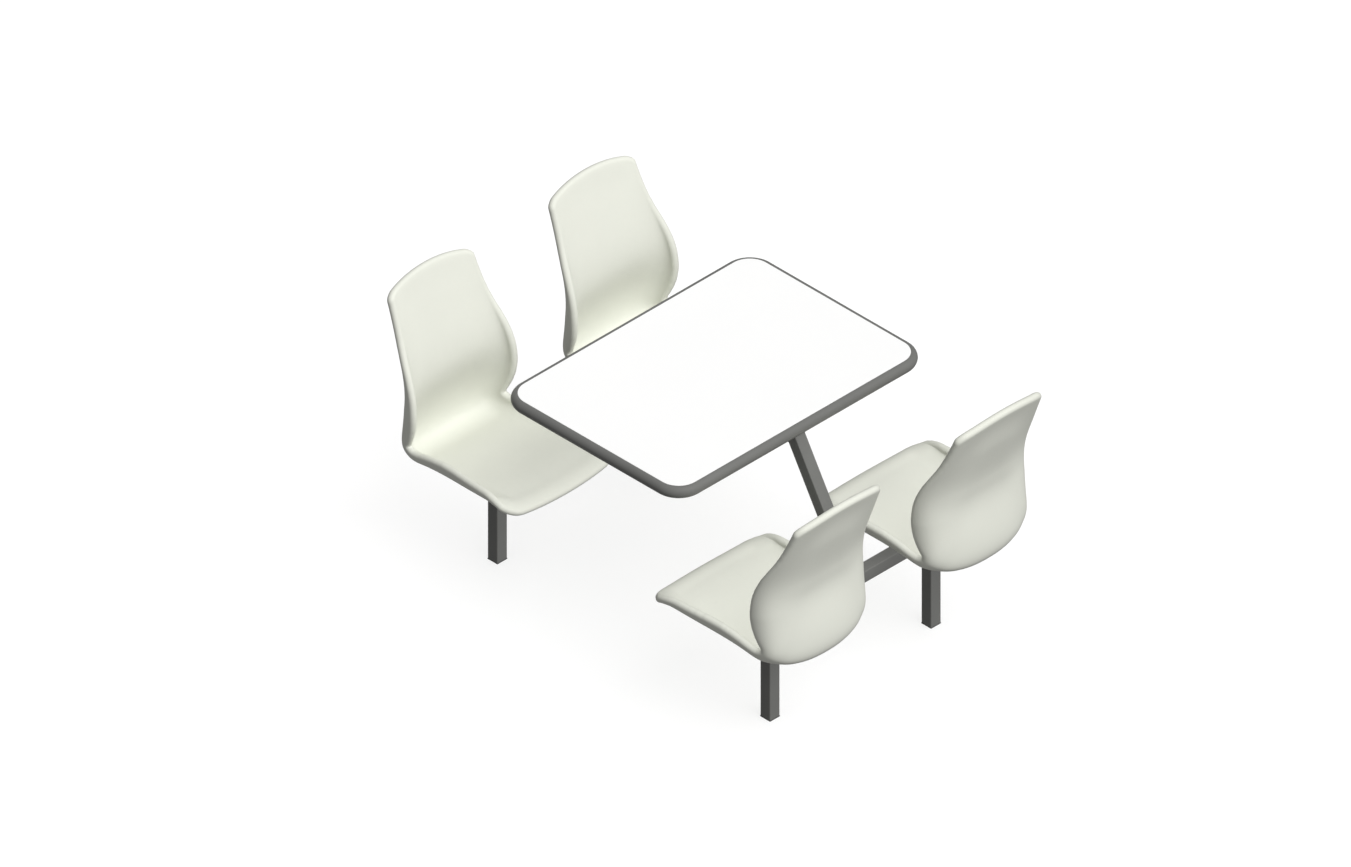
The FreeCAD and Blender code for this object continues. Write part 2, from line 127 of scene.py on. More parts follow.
class Recipe(NodeWriter):  # a Geometry Nodes tree with named inputs
    def __init__(self, name, values):
        self.tree = bpy.data.node_groups.new(name, "GeometryNodeTree")
        kinds = {int: "NodeSocketInt", float: "NodeSocketFloat"}
        face = self.tree.interface
        face.new_socket("Geometry", in_out="OUTPUT", socket_type="NodeSocketGeometry")
        face.new_socket("Source", in_out="INPUT", socket_type="NodeSocketGeometry")
        self.values = {}
        for label, value in values.items():
            socket = face.new_socket(label, in_out="INPUT", socket_type=kinds[type(value)])
            self.values[socket.identifier] = value
        self.given = self.tree.nodes.new("NodeGroupInput").outputs

    def math(self, operation, *values):
        return self.node("ShaderNodeMath", dict(enumerate(values)), operation=operation)

    def vector(self, x=0.0, y=0.0, z=0.0):
        return self.node("ShaderNodeCombineXYZ", {0: x, 1: y, 2: z})

    def lifted(self, geometry, height):
        return self.node("GeometryNodeTransform",
                         {"Geometry": geometry, "Translation": self.vector(z=height)})

    def joined(self, *parts):
        made = self.tree.nodes.new("GeometryNodeJoinGeometry")
        for part in parts:
            self.tree.links.new(part, made.inputs[0])
        return made.outputs[0]

    def cylinder(self, sides, radius, depth):
        return self.node("GeometryNodeMeshCylinder",
                         {"Vertices": sides, "Radius": radius, "Depth": depth})

    def finish(self, geometry, material):
        whole = self.node("GeometryNodeRealizeInstances", {"Geometry": geometry})
        painted = self.node("GeometryNodeSetMaterial", {"Geometry": whole, "Material": material})
        self.tree.links.new(painted, self.tree.nodes.new("NodeGroupOutput").inputs[0])
        return self

    def mesh(self, points=((0, 0, 0),), edges=(), marks=None):  # the result as a plain mesh
        source = bpy.data.meshes.new(self.tree.name)
        source.from_pydata([tuple(point) for point in points], edges, [])
        for label, values in (marks or {}).items():
            source.attributes.new(label, "FLOAT", "POINT").data.foreach_set("value", values)
        holder = bpy.data.objects.new(self.tree.name, source)
        bpy.context.scene.collection.objects.link(holder)
        modifier = holder.modifiers.new("recipe", "NODES")
        modifier.node_group = self.tree
        for identifier, value in self.values.items():
            modifier[identifier] = value
        graph = bpy.context.evaluated_depsgraph_get()
        result = bpy.data.meshes.new_from_object(holder.evaluated_get(graph))
        bpy.data.objects.remove(holder)
        bpy.data.meshes.remove(source)
        return result


class Paint(NodeWriter):  # a material whose textures follow the object's coordinates
    kinds = {"noise": "ShaderNodeTexNoise", "cells": "ShaderNodeTexVoronoi"}

    def __init__(self, name):
        self.material = bpy.data.materials.new(name)
        self.material.use_nodes = True
        self.tree = self.material.node_tree
        self.shader = self.tree.nodes["Principled BSDF"].inputs
        self.place = self.node("ShaderNodeTexCoord", {}, "Object")

    def texture(self, kind, scale, detail=0.0, roughness=0.5, stretch=None):
        place = self.place
        if stretch:
            place = self.node("ShaderNodeMapping", {"Vector": place, "Scale": stretch})
        return self.node(self.kinds[kind], {
            "Vector": place, "Scale": scale, "Detail": detail, "Roughness": roughness})

    def ramp(self, source, stops):
        made = self.tree.nodes.new("ShaderNodeValToRGB")
        elements = made.color_ramp.elements
        while len(elements) < len(stops):
            elements.new(0.5)
        for element, (place, colour) in zip(elements, stops):
            element.position = place
            element.color = colour
        self.put(source, made.inputs["Fac"])
        return made.outputs["Color"]

    def span(self, source, low, high, fromLow=0.0, fromHigh=1.0):
        return self.node("ShaderNodeMapRange", {
            "Value": source, "From Min": fromLow, "From Max": fromHigh,
            "To Min": low, "To Max": high})

    def blend(self, share, first, second):  # sockets by place, because their names repeat
        return self.node("ShaderNodeMix", {0: share, 6: first, 7: second}, 2, data_type="RGBA")

    def bump(self, layers):
        before = None
        for source, depth, strength in layers:
            inputs = {"Height": source, "Distance": depth, "Strength": strength}
            if before:
                inputs["Normal"] = before
            before = self.node("ShaderNodeBump", inputs)
        self.put(before, self.shader["Normal"])


# Finishes by the record's slots.
# textures: kind, scale, detail, roughness, stretch
# tones: a texture and its stops, each a colour or a share of the finish's own colour
# specks: texture, most of it, where it starts and ends, tone
# roughness: one value, or a texture with the lowest and highest
# bumps: texture, depth in metres, strength
finishes = {
    "frame_grey": {
        "name": "powderCoat",
        "colour": (0.150, 0.151, 0.144),
        "textures": {"cloud": ("noise", 7.0, 4.0), "grain": ("noise", 900.0, 2.0, 0.6),
                     "peel": ("noise", 260.0, 2.0)},
        "tones": ("cloud", (0.3, 0.93), (0.7, 1.07)),
        "specks": ("grain", 0.35, 0.45, 0.8, 1.25),
        "roughness": ("cloud", 0.44, 0.58),
        "bumps": (("peel", 0.00025, 0.5), ("grain", 0.00008, 0.5)),
    },
    "edge_grey": {
        "name": "edgePolymer",
        "colour": (0.150, 0.151, 0.144),
        "textures": {"cloud": ("noise", 5.0, 3.0), "grain": ("noise", 1500.0, 2.0, 0.6),
                     "scuffs": ("noise", 60.0, 6.0, 0.7, (0.25, 0.25, 3.0))},
        "tones": ("cloud", (0.3, 0.95), (0.7, 1.05)),
        "specks": ("scuffs", 0.3, 0.62, 0.8, 1.5),
        "roughness": ("scuffs", 0.36, 0.55),
        "bumps": (("grain", 0.00006, 0.5),),
    },
    "laminate_white": {
        "name": "whiteLaminate",
        "colour": (0.93, 0.93, 0.925),
        "textures": {"cloud": ("noise", 2.5, 3.0), "pebble": ("cells", 420.0),
                     "wear": ("noise", 14.0, 5.0)},
        "tones": ("cloud", (0.25, 0.985), (0.75, 1.0)),
        "roughness": ("wear", 0.33, 0.45),
        "bumps": (("pebble", 0.00006, 0.35),),
    },
    "seat_cream": {
        "name": "seatMoulding",
        "colour": (0.69, 0.70, 0.63),
        "textures": {"cloud": ("noise", 4.0, 4.0), "fibre": ("noise", 70.0, 5.0, 0.65),
                     "pebble": ("cells", 650.0)},
        "tones": ("cloud", (0.25, 0.975), (0.75, 1.02)),
        "specks": ("fibre", 0.25, 0.5, 0.9, 0.93),
        "roughness": ("fibre", 0.4, 0.54),
        "bumps": (("fibre", 0.0003, 0.18), ("pebble", 0.00007, 0.3)),
    },
    "chipboard": {
        "name": "particleBoard",
        "colour": (0.5, 0.36, 0.2),
        "textures": {"flake": ("cells", 260.0, 0.0, 0.5, (1.0, 0.6, 2.2)),
                     "dust": ("noise", 900.0, 3.0)},
        "tones": ("flake", (0.05, (0.3, 0.2, 0.1)), (0.35, (0.52, 0.38, 0.22)),
                  (0.7, (0.66, 0.5, 0.32))),
        "specks": ("dust", 0.5, 0.0, 1.0, (0.42, 0.3, 0.17)),
        "roughness": 0.85,
        "bumps": (("flake", 0.0006, 0.7), ("dust", 0.0002, 0.5)),
    },
    "backer_grey": {
        "name": "backingSheet",
        "colour": (0.42, 0.42, 0.40),
        "textures": {"streak": ("noise", 60.0, 4.0, 0.6, (0.08, 1.0, 1.0)),
                     "pebble": ("cells", 500.0)},
        "tones": ("streak", (0.3, 0.92), (0.7, 1.06)),
        "roughness": 0.55,
        "bumps": (("pebble", 0.00006, 0.4),),
    },
    "plate_black": {
        "name": "blackPaint",
        "colour": (0.022, 0.022, 0.023),
        "textures": {"cloud": ("noise", 12.0, 4.0), "peel": ("noise", 220.0, 3.0)},
        "tones": ("cloud", (0.3, 1.0), (0.75, 1.8)),
        "roughness": ("peel", 0.34, 0.5),
        "bumps": (("peel", 0.0002, 0.4),),
    },
    "zinc_steel": {
        "name": "zincPlate",
        "colour": (0.6, 0.6, 0.57),
        "textures": {"bloom": ("noise", 150.0, 4.0, 0.6), "grain": ("noise", 1200.0, 3.0)},
        "tones": ("bloom", (0.3, (0.5, 0.5, 0.46)), (0.5, (0.64, 0.64, 0.62)),
                  (0.75, (0.6, 0.58, 0.48))),
        "roughness": ("bloom", 0.24, 0.46),
        "bumps": (("grain", 0.00005, 0.4),),
        "Metallic": 1.0,
    },
    "bare_steel": {
        "name": "turnedSteel",
        "colour": (0.42, 0.42, 0.41),
        "textures": {"rings": ("noise", 700.0, 3.0, 0.5, (0.05, 0.05, 2.0))},
        "tones": ("rings", (0.3, (0.33, 0.33, 0.32)), (0.7, (0.5, 0.5, 0.48))),
        "roughness": ("rings", 0.22, 0.4),
        "bumps": (("rings", 0.00005, 0.6),),
        "Metallic": 1.0,
    },
    "bush_nylon": {
        "name": "naturalNylon",
        "colour": (0.72, 0.7, 0.62),
        "textures": {"haze": ("noise", 90.0, 3.0), "grain": ("noise", 600.0, 3.0)},
        "tones": ("haze", (0.3, (0.66, 0.64, 0.55)), (0.7, (0.76, 0.74, 0.67))),
        "roughness": 0.4,
        "bumps": (("grain", 0.00005, 0.3),),
        "Subsurface Weight": 0.1,
    },
    "sleeve_rubber": {
        "name": "blackRubber",
        "colour": (0.02, 0.02, 0.02),
        "textures": {"bloom": ("noise", 40.0, 4.0), "grain": ("noise", 800.0, 3.0)},
        "tones": ("bloom", (0.3, (0.014, 0.014, 0.014)), (0.8, (0.04, 0.04, 0.038))),
        "roughness": 0.75,
        "bumps": (("grain", 0.0001, 0.4),),
    },
    "foot_plastic": {
        "name": "footPolythene",
        "colour": (0.02, 0.02, 0.021),
        "textures": {"scuff": ("noise", 180.0, 5.0, 0.7)},
        "tones": ("scuff", (0.45, (0.018, 0.018, 0.018)), (0.8, (0.07, 0.07, 0.068))),
        "roughness": ("scuff", 0.45, 0.7),
        "bumps": (("scuff", 0.00015, 0.4),),
    },
}


def buildFinish(looks):
    paint = Paint(looks["name"])
    textures = {label: paint.texture(*values) for label, values in looks["textures"].items()}

    def toned(tone):  # a colour, or a share of the finish's own
        if isinstance(tone, tuple):
            return (*tone, 1)
        return (*(min(1.0, part * tone) for part in looks["colour"]), 1)

    source, *stops = looks["tones"]
    colour = paint.ramp(textures[source], [(place, toned(tone)) for place, tone in stops])
    if "specks" in looks:
        source, most, start, end, tone = looks["specks"]
        share = paint.span(textures[source], 0.0, most, start, end)
        colour = paint.blend(share, colour, toned(tone))
    paint.put(colour, paint.shader["Base Color"])
    rough = looks["roughness"]
    if isinstance(rough, tuple):
        rough = paint.span(textures[rough[0]], *rough[1:])
    paint.put(rough, paint.shader["Roughness"])
    paint.bump([(textures[label], *depths) for label, *depths in looks["bumps"]])
    for label in ("Metallic", "Subsurface Weight"):
        if label in looks:
            paint.put(looks[label], paint.shader[label])
    return paint.material


materials = {slot: buildFinish(looks) for slot, looks in finishes.items()}
for part in frame["record"]["subparts"]:
    for holder in nodes[part["node"]].material_slots:
        holder.material = materials[part["material_slot"]]
print("stage: finishes on", len(nodes), "nodes")


seatShell = {
    "rise": 0.0289,  # sitting surface over the post, above the seat plate
    "wall": 0.007,
    "backWall": 0.035,  # the back is a deeper hollow moulding
    "backTaper": 0.013,  # how much of that is gone at the top
    "rimWall": 0.024,  # thicker all round the edge
    "blendInside": 0.065,  # how far in the rim reaches on the sitting side
    # places along the shell run from 0 at the lip to 1 at the top
    "backGrows": (0.50, 0.72),  # where the wall deepens
    "rimRise": ((0.0, 0.005), (0.07, 0.010), (0.46, 0.010), (0.62, 0.002)),  # on the sitting side
    "blendUnder": ((0.0, 0.055), (0.46, 0.055), (0.62, 0.13)),  # how far in on the other side
    "rows": 150,  # mesh lines from lip to top
    "columns": 96,  # across
    "rimSteps": 8,  # round the edge
    "sectionPoints": 240,
    "lengthShare": 0.6,  # of the columns' spacing, the rest by turn
    "lipSearch": (0.0, 0.22),  # where the trimmed ends are looked for
    "topSearch": (1.0, 0.78),
    "searchSteps": 160,
    "normalStep": 0.002,
    "lipReach": 0.287,  # front edge, in front of the post
    "lipBow": 0.016,
    "lipHalfWidth": 0.225,
    "lipCorner": 0.062,
    "backReach": 0.520,  # top edge above the sitting surface
    "backBow": 0.030,
    "backHalfTop": 0.171,
    "backCorner": 0.050,
    "stations": [  # middle (y, z), rim (half width, y, z), squareness
        ((0.312, -0.012), (0.202, 0.300, 0.009), 3.4),
        ((0.250, 0.017), (0.209, 0.238, 0.039), 3.8),
        ((0.190, 0.0215), (0.212, 0.184, 0.056), 4.6),
        ((0.110, 0.015), (0.210, 0.104, 0.060), 4.9),
        ((0.0, 0.0), (0.201, -0.004, 0.057), 4.8),
        ((-0.120, -0.022), (0.194, -0.098, 0.036), 3.2),
        ((-0.203, -0.037), (0.190, -0.152, 0.032), 2.35),
        ((-0.223, -0.029), (0.189, -0.161, 0.040), 2.25),
        ((-0.231, -0.008), (0.189, -0.159, 0.051), 2.3),
        ((-0.231, 0.031), (0.191, -0.149, 0.067), 2.4),
        ((-0.202, 0.141), (0.194, -0.126, 0.134), 2.8),
        ((-0.188, 0.206), (0.192, -0.130, 0.208), 3.0),
        ((-0.219, 0.346), (0.175, -0.195, 0.354), 2.8),
        ((-0.293, 0.536), (0.163, -0.279, 0.542), 2.5),
    ],
}


def smoothThrough(marks, values, wanted):  # natural cubic spline
    count = len(marks)
    gaps = np.diff(marks)
    system = np.eye(count)
    right = np.zeros_like(values)
    for index in range(1, count - 1):
        before, after = gaps[index - 1], gaps[index]
        system[index, index - 1:index + 2] = before, 2 * (before + after), after
        right[index] = 6 * ((values[index + 1] - values[index]) / after
                            - (values[index] - values[index - 1]) / before)
    bend = np.linalg.solve(system, right)
    spot = np.clip(np.searchsorted(marks, wanted) - 1, 0, count - 2)
    gap = gaps[spot][:, None]
    ahead = (marks[spot + 1] - wanted)[:, None]
    behind = (wanted - marks[spot])[:, None]
    return ((bend[spot] * ahead ** 3 + bend[spot + 1] * behind ** 3) / (6 * gap)
            + (values[spot] / gap - bend[spot] * gap / 6) * ahead
            + (values[spot + 1] / gap - bend[spot + 1] * gap / 6) * behind)


def shellCurves():  # the stations' places along the shell, and their values
    table = np.array([[*middle, *rim, power] for middle, rim, power in seatShell["stations"]])
    runs = []
    for columns in (table[:, :2], table[:, 2:5]):
        lengths = np.r_[0, np.cumsum(np.linalg.norm(np.diff(columns, axis=0), axis=1))]
        runs.append(lengths / lengths[-1])
    return (runs[0] + runs[1]) / 2, table


def shellPoint(share, along, marks, table):  # share 0 to 1 from middle to rim
    across = np.linspace(0, math.pi / 2, seatShell["sectionPoints"])
    byLength = seatShell["lengthShare"]
    made = smoothThrough(marks, table, along)
    points = np.zeros((len(share), 3))
    for index, (midY, midZ, width, rimY, rimZ, power) in enumerate(made):
        depth = math.hypot(rimY - midY, rimZ - midZ)
        out = width * np.sin(across) ** (2 / power)
        up = depth * (1 - np.cos(across) ** (2 / power))
        length = np.r_[0, np.cumsum(np.hypot(np.diff(out), np.diff(up)))]
        turn = np.r_[0, np.arctan2(np.diff(up), np.diff(out)) / (math.pi / 2)]
        keep = length < length[-1] - seatShell["rimWall"] / 2  # room for the round rim
        length, turn, out, up = length[keep], turn[keep], out[keep], up[keep]
        spacing = byLength * length / length[-1] + (1 - byLength) * turn
        outNow = np.interp(share[index] * spacing[-1], spacing, out)
        upNow = np.interp(share[index] * spacing[-1], spacing, up) / depth
        points[index] = outNow, midY + upNow * (rimY - midY), midZ + upNow * (rimZ - midZ)
    return points, made[:, 2]


def cornerLimit(x, reach, bow, halfWidth, corner, inset):
    # an arched edge with round corners: how far it reaches at x
    radius = (halfWidth ** 2 + bow ** 2) / (2 * bow)
    centre = reach - radius
    cornerX = halfWidth - corner  # the round corner's middle
    cornerY = centre + math.sqrt((radius - corner) ** 2 - cornerX ** 2)
    touch = cornerX * radius / (radius - corner)
    arch = centre + np.sqrt((radius - inset) ** 2 - np.minimum(x, halfWidth) ** 2)
    small = corner - inset
    fillet = cornerY + np.sqrt(np.maximum(small ** 2 - (x - cornerX) ** 2, 0))
    return np.where(x < touch, arch, fillet)


def edgeMarks(shares, marks, table, search, axis, limits):
    # where each column meets the shell's trimmed end
    steps = np.linspace(*search, seatShell["searchSteps"])
    reach, bow, halfWidth, corner = limits
    inset = seatShell["rimWall"] / 2
    found = []
    for share in shares:
        points, widths = shellPoint(np.full(len(steps), share), steps, marks, table)
        x = points[:, 0] * (halfWidth - inset) / widths
        over = points[:, axis] - cornerLimit(x, reach, bow, halfWidth, corner, inset)
        inside = np.argmax(over < 0)
        first = max(inside - 1, 0)
        rise = over[first] - over[inside]
        part = over[first] / rise if rise > 0 else 0.0
        found.append(steps[first] + part * (steps[inside] - steps[first]))
    return np.array(found)


def shellGrid():  # the sitting surface's points and normals, in rows
    marks, table = shellCurves()
    half = seatShell["columns"] // 2
    shares = np.linspace(0, 1, half + 1)
    lip = edgeMarks(shares, marks, table, seatShell["lipSearch"], 1, [
        seatShell[key] for key in ("lipReach", "lipBow", "lipHalfWidth", "lipCorner")])
    top = edgeMarks(shares, marks, table, seatShell["topSearch"], 2, [
        seatShell[key] for key in ("backReach", "backBow", "backHalfTop", "backCorner")])
    rows = seatShell["rows"]
    downRow = np.linspace(0, 1, rows + 1)
    step = seatShell["normalStep"]
    points = np.zeros((rows + 1, half + 1, 3))
    normals = np.zeros_like(points)
    for index, share in enumerate(shares):
        along = lip[index] + (top[index] - lip[index]) * downRow
        here = np.full(rows + 1, share)
        points[:, index] = shellPoint(here, along, marks, table)[0]
        inner = here - step if share > 0 else here
        inPoint = shellPoint(inner, along, marks, table)[0]
        outPoint = shellPoint(np.minimum(inner + 2 * step, 1), along, marks, table)[0]
        ahead = shellPoint(here, np.maximum(along - step, 0), marks, table)[0]
        behind = shellPoint(here, np.minimum(along + step, 1), marks, table)[0]
        cross = np.cross(behind - ahead, outPoint - inPoint)
        normals[:, index] = cross / np.linalg.norm(cross, axis=1)[:, None]
    normals[:, 0, 0] = 0  # none to the side on the middle line
    normals /= np.linalg.norm(normals, axis=2)[:, :, None]
    flip = np.array([-1, 1, 1])
    points = np.concatenate([points[:, :0:-1] * flip, points], axis=1)
    normals = np.concatenate([normals[:, :0:-1] * flip, normals], axis=1)
    if normals[rows // 5, half, 2] < 0:  # on the pan they point up
        normals = -normals
    return points, normals


def eased(share):
    share = np.clip(share, 0, 1)
    return share * share * (3 - 2 * share)


def shellDepths(points):  # the rim's rise and the wall below the sitting surface, at each point
    rows = len(points)
    edges = points[[0, -1]].reshape(-1, 3), points[:, [0, -1]].reshape(-1, 3)
    toEnds, toSides = (
        np.array([[np.linalg.norm(line - point, axis=1).min() for point in row] for row in points])
        for line in edges)
    along = np.linspace(0, 1, rows)[:, None]
    raised, reach = (np.interp(along, *zip(*seatShell[key])) for key in ("rimRise", "blendUnder"))
    inside, under = (1 - (1 - eased(1 - toEnds / width)) * (1 - eased(1 - toSides / width))
                     for width in (seatShell["blendInside"], reach))
    start, end = seatShell["backGrows"]
    deeper = (seatShell["backWall"] - seatShell["wall"]) * eased((along - start) / (end - start))
    taper = seatShell["backTaper"] * (np.maximum(along - end, 0) / (1 - end)) ** 2
    middle = seatShell["wall"] + deeper - taper
    wall = middle + (seatShell["rimWall"] - raised - middle) * under
    return (raised * inside)[:, :, None], wall[:, :, None]


def rimLoop(rows, columns):  # once round the grid's edge, from the lip
    loop = list(range(columns))
    loop += [row * columns + columns - 1 for row in range(1, rows)]
    loop += [(rows - 1) * columns + column for column in range(columns - 2, -1, -1)]
    loop += [row * columns for row in range(rows - 2, 0, -1)]
    return loop


def shellMesh():
    points, normals = shellGrid()
    rows, columns = points.shape[:2]
    rise, wall = shellDepths(points)
    upper = (points + normals * rise).reshape(-1, 3)
    lower = (points - normals * wall).reshape(-1, 3)
    faces = []
    for row in range(rows - 1):
        for column in range(columns - 1):
            first = row * columns + column
            quad = (first, first + 1, first + columns + 1, first + columns)
            faces.append(quad)
            faces.append(tuple(index + len(upper) for index in reversed(quad)))
    loop = rimLoop(rows, columns)
    edge, normal = upper[loop], normals.reshape(-1, 3)[loop]
    tangent = np.roll(edge, -1, axis=0) - np.roll(edge, 1, axis=0)
    outward = np.cross(tangent, normal)
    outward /= np.linalg.norm(outward, axis=1)[:, None]
    if outward[columns // 2, 1] < 0:  # at the lip they point forward
        outward = -outward
    radius = seatShell["rimWall"] / 2
    centre = edge - normal * radius
    rings, roundPoints = [loop], []
    for step in range(1, seatShell["rimSteps"]):
        angle = math.pi * step / seatShell["rimSteps"]
        start = 2 * len(upper) + len(roundPoints)
        rings.append([start + index for index in range(len(loop))])
        roundPoints.extend(centre + (normal * math.cos(angle) + outward * math.sin(angle)) * radius)
    rings.append([index + len(upper) for index in loop])
    for before, after in zip(rings, rings[1:]):
        for index in range(len(loop)):
            follow = (index + 1) % len(loop)
            faces.append((before[index], after[index], after[follow], before[follow]))
    return np.concatenate([upper, lower, np.array(roundPoints)]), faces


shellPoints, shellFaces = shellMesh()
sittingLevel = boxOf("seat_plate_front_left")[1].z + seatShell["rise"]
for seat, sideY in seatSides.items():
    axis = sum(boxOf("spindle_" + seat), Vector()) / 2
    placed = shellPoints * (-sideY, -sideY, 1) + (axis.x, axis.y, sittingLevel)
    newPiece("seatShell_" + seat, placed, shellFaces, materials["seat_cream"],
             "seat_" + seat, "seat_cream", ("seat_shell_" + seat,))
print("stage: seat shells,", len(shellFaces), "faces each")


edgeBand = {
    "corner": 0.085,  # over the band, seen from above
    "cornerSteps": 24,
    "profilePoints": 40,
    "shoulder": 0.0007,  # how far the band drops at its seam
    "shoulderWidth": 0.0016,
}
laminate = {"chamfer": 0.0005}


def buildTop():
    low, high = boxOf("tabletop_edge_band")
    radius = (high.z - low.z) / 2
    recipe = Recipe("edgeBandRecipe", {
        "length": high.x - low.x - 2 * radius,
        "width": high.y - low.y - 2 * radius,
        "corner": edgeBand["corner"] - radius,
        "cornerSteps": edgeBand["cornerSteps"],
        "radius": radius,
        "profilePoints": edgeBand["profilePoints"],
        "shoulder": edgeBand["shoulder"],
        "shoulderWidth": edgeBand["shoulderWidth"],
    })
    given = recipe.given
    path = recipe.node("GeometryNodeCurvePrimitiveQuadrilateral",
                       {"Width": given["length"], "Height": given["width"]})
    path = recipe.node("GeometryNodeFilletCurve", {
        "Curve": path, "Radius": given["corner"], "Count": given["cornerSteps"]}, mode="POLY")
    path = recipe.node("GeometryNodeSetCurveNormal", {"Curve": path}, mode="Z_UP")
    line = recipe.node("GeometryNodeCurvePrimitiveLine", {})
    line = recipe.node("GeometryNodeResampleCurve", {"Curve": line, "Count": given["profilePoints"]})
    along = recipe.node("GeometryNodeSplineParameter", {})
    angle = recipe.math("MULTIPLY", recipe.math("SUBTRACT", along, 0.5), math.pi)
    out = recipe.math("MULTIPLY", recipe.math("COSINE", angle), given["radius"])
    near = recipe.math("SUBTRACT", 1.0, recipe.math("DIVIDE", out, given["shoulderWidth"]))
    drop = recipe.math("MULTIPLY", recipe.math("MAXIMUM", near, 0.0), given["shoulder"])
    lower = recipe.math("SUBTRACT", given["radius"], drop)
    up = recipe.math("MULTIPLY", recipe.math("SINE", angle), lower)
    profile = recipe.node("GeometryNodeSetPosition", {
        "Geometry": line, "Position": recipe.vector(recipe.math("MAXIMUM", out, 0.0), up)})
    profile = recipe.node("GeometryNodeSetSplineCyclic", {"Geometry": profile, "Cyclic": True})
    band = recipe.node("GeometryNodeCurveToMesh", {"Curve": path, "Profile Curve": profile})
    band = recipe.lifted(band, (low.z + high.z) / 2)
    mesh = recipe.finish(band, materials["edge_grey"]).mesh()
    finishPiece("edgeBand", mesh, materials["edge_grey"], "frame",
                ("tabletop_edge_band",))

    low, high = boxOf("tabletop_laminate")
    chamfer = laminate["chamfer"]
    loops = []
    for inset, level in ((0, low.z), (0, high.z - chamfer), (chamfer, high.z)):
        outline = roundedLoop(high.x - inset, high.y - inset, edgeBand["corner"] - radius - inset,
                              edgeBand["cornerSteps"])
        loops.append([(x, y, level) for x, y in outline])
    newPiece("laminate", *stackFaces(loops), materials["laminate_white"], "frame",
             "laminate_white", ("tabletop_laminate",))


buildTop()
print("stage: tabletop")


tube = {
    "corner": 0.003,  # outer radius of the square tube
    "cornerSteps": 5,
}


def tubePiece(name, node, loops):
    newPiece(name, *stackFaces(loops), materials["frame_grey"], "frame", "frame_grey", (node,))


def strutShape(node):  # at foot and head: middle in Y and half the level cut's width
    low, high = boxOf(node)
    side = 1 if low.y + high.y > 0 else -1
    plateLow, plateHigh = boxOf(node.split("_")[0] + "_top_plate")
    foot = max(abs(low.y), abs(high.y))
    head = max(abs(plateLow.y), abs(plateHigh.y))
    cut = head - min(abs(low.y), abs(high.y))
    return side * (foot - cut / 2), side * (head - cut / 2), cut / 2


def buildTubes():
    corner, steps = tube["corner"], tube["cornerSteps"]
    for seat in seatSides:
        low, high = boxOf("post_" + seat)
        middle, half = (low + high) / 2, (high.x - low.x) / 2
        outline = roundedLoop(half, half, corner, steps)
        tubePiece("post_" + seat + "_tube", "post_" + seat, [
            [(middle.x + x, middle.y + y, level) for x, y in outline] for level in (low.z, high.z)])
    for name in ("front", "rear"):
        low, high = boxOf(name + "_rail")
        middle, half = (low + high) / 2, (high.y - low.y) / 2
        outline = roundedLoop(half, half, corner, steps)
        tubePiece(name + "RailTube", name + "_rail", [
            [(end, middle.y + y, middle.z + z) for y, z in outline] for end in (low.x, high.x)])
        low, high = boxOf(name + "_strut")
        foot, head, halfCut = strutShape(name + "_strut")
        outline = roundedLoop(half, half, corner, steps)
        tubePiece(name + "StrutTube", name + "_strut", [
            [(x, place + y * halfCut / half, level) for x, y in outline]
            for place, level in ((foot, low.z), (head, high.z))])
    low, high = boxOf("top_bearer")
    foot, head, halfCut = strutShape("rear_strut")
    strutLow, strutHigh = boxOf("rear_strut")
    slope = (foot - head) / (strutHigh.z - strutLow.z)
    outline = roundedLoop((high.x - low.x) / 2, (high.z - low.z) / 2, corner, steps)
    middle = (low.z + high.z) / 2
    end = head - halfCut + slope * (high.z - middle)  # at half height
    tubePiece("bearerTube", "top_bearer", [
        [(x, side * (end - slope * z), middle + z) for x, z in outline] for side in (-1, 1)])


buildTubes()
print("stage: tubes")


weld = {
    "radius": 0.0021,
    "pitch": 0.0032,  # from ripple to ripple
    "ripple": 0.13,
    "wander": 0.25,
    "sides": 8,
    "step": 0.0008,  # from ring to ring
    "wanderScale": 90.0,
    "seed": 7,
}
plateWeld = {"steps": 32}  # round the spindle


def weldRecipe(name, material):
    recipe = Recipe(name, dict(weld))
    given = recipe.given
    path = recipe.node("GeometryNodeResampleCurve", {
        "Curve": recipe.node("GeometryNodeMeshToCurve", {"Mesh": given["Source"]}),
        "Length": given["step"]}, mode="LENGTH")
    parameter = recipe.tree.nodes.new("GeometryNodeSplineParameter")
    turns = recipe.math("DIVIDE", parameter.outputs["Length"], given["pitch"])
    wave = recipe.math("SINE", recipe.math("MULTIPLY", turns, 2 * math.pi))
    wander = recipe.node("ShaderNodeTexNoise", {"W": given["seed"], "Scale": given["wanderScale"]},
                         noise_dimensions="4D")
    wander = recipe.math("MULTIPLY", recipe.math("SUBTRACT", wander, 0.5), given["wander"])
    size = recipe.math("ADD", recipe.math("MULTIPLY", wave, given["ripple"]), wander)
    size = recipe.math("MULTIPLY", recipe.math("ADD", size, 1.0), given["radius"])
    ring = recipe.node("GeometryNodeCurvePrimitiveCircle", {
        "Resolution": given["sides"], "Radius": 1.0})
    bead = recipe.node("GeometryNodeCurveToMesh", {
        "Curve": path, "Profile Curve": ring, "Scale": size, "Fill Caps": True})
    return recipe.finish(bead, material)


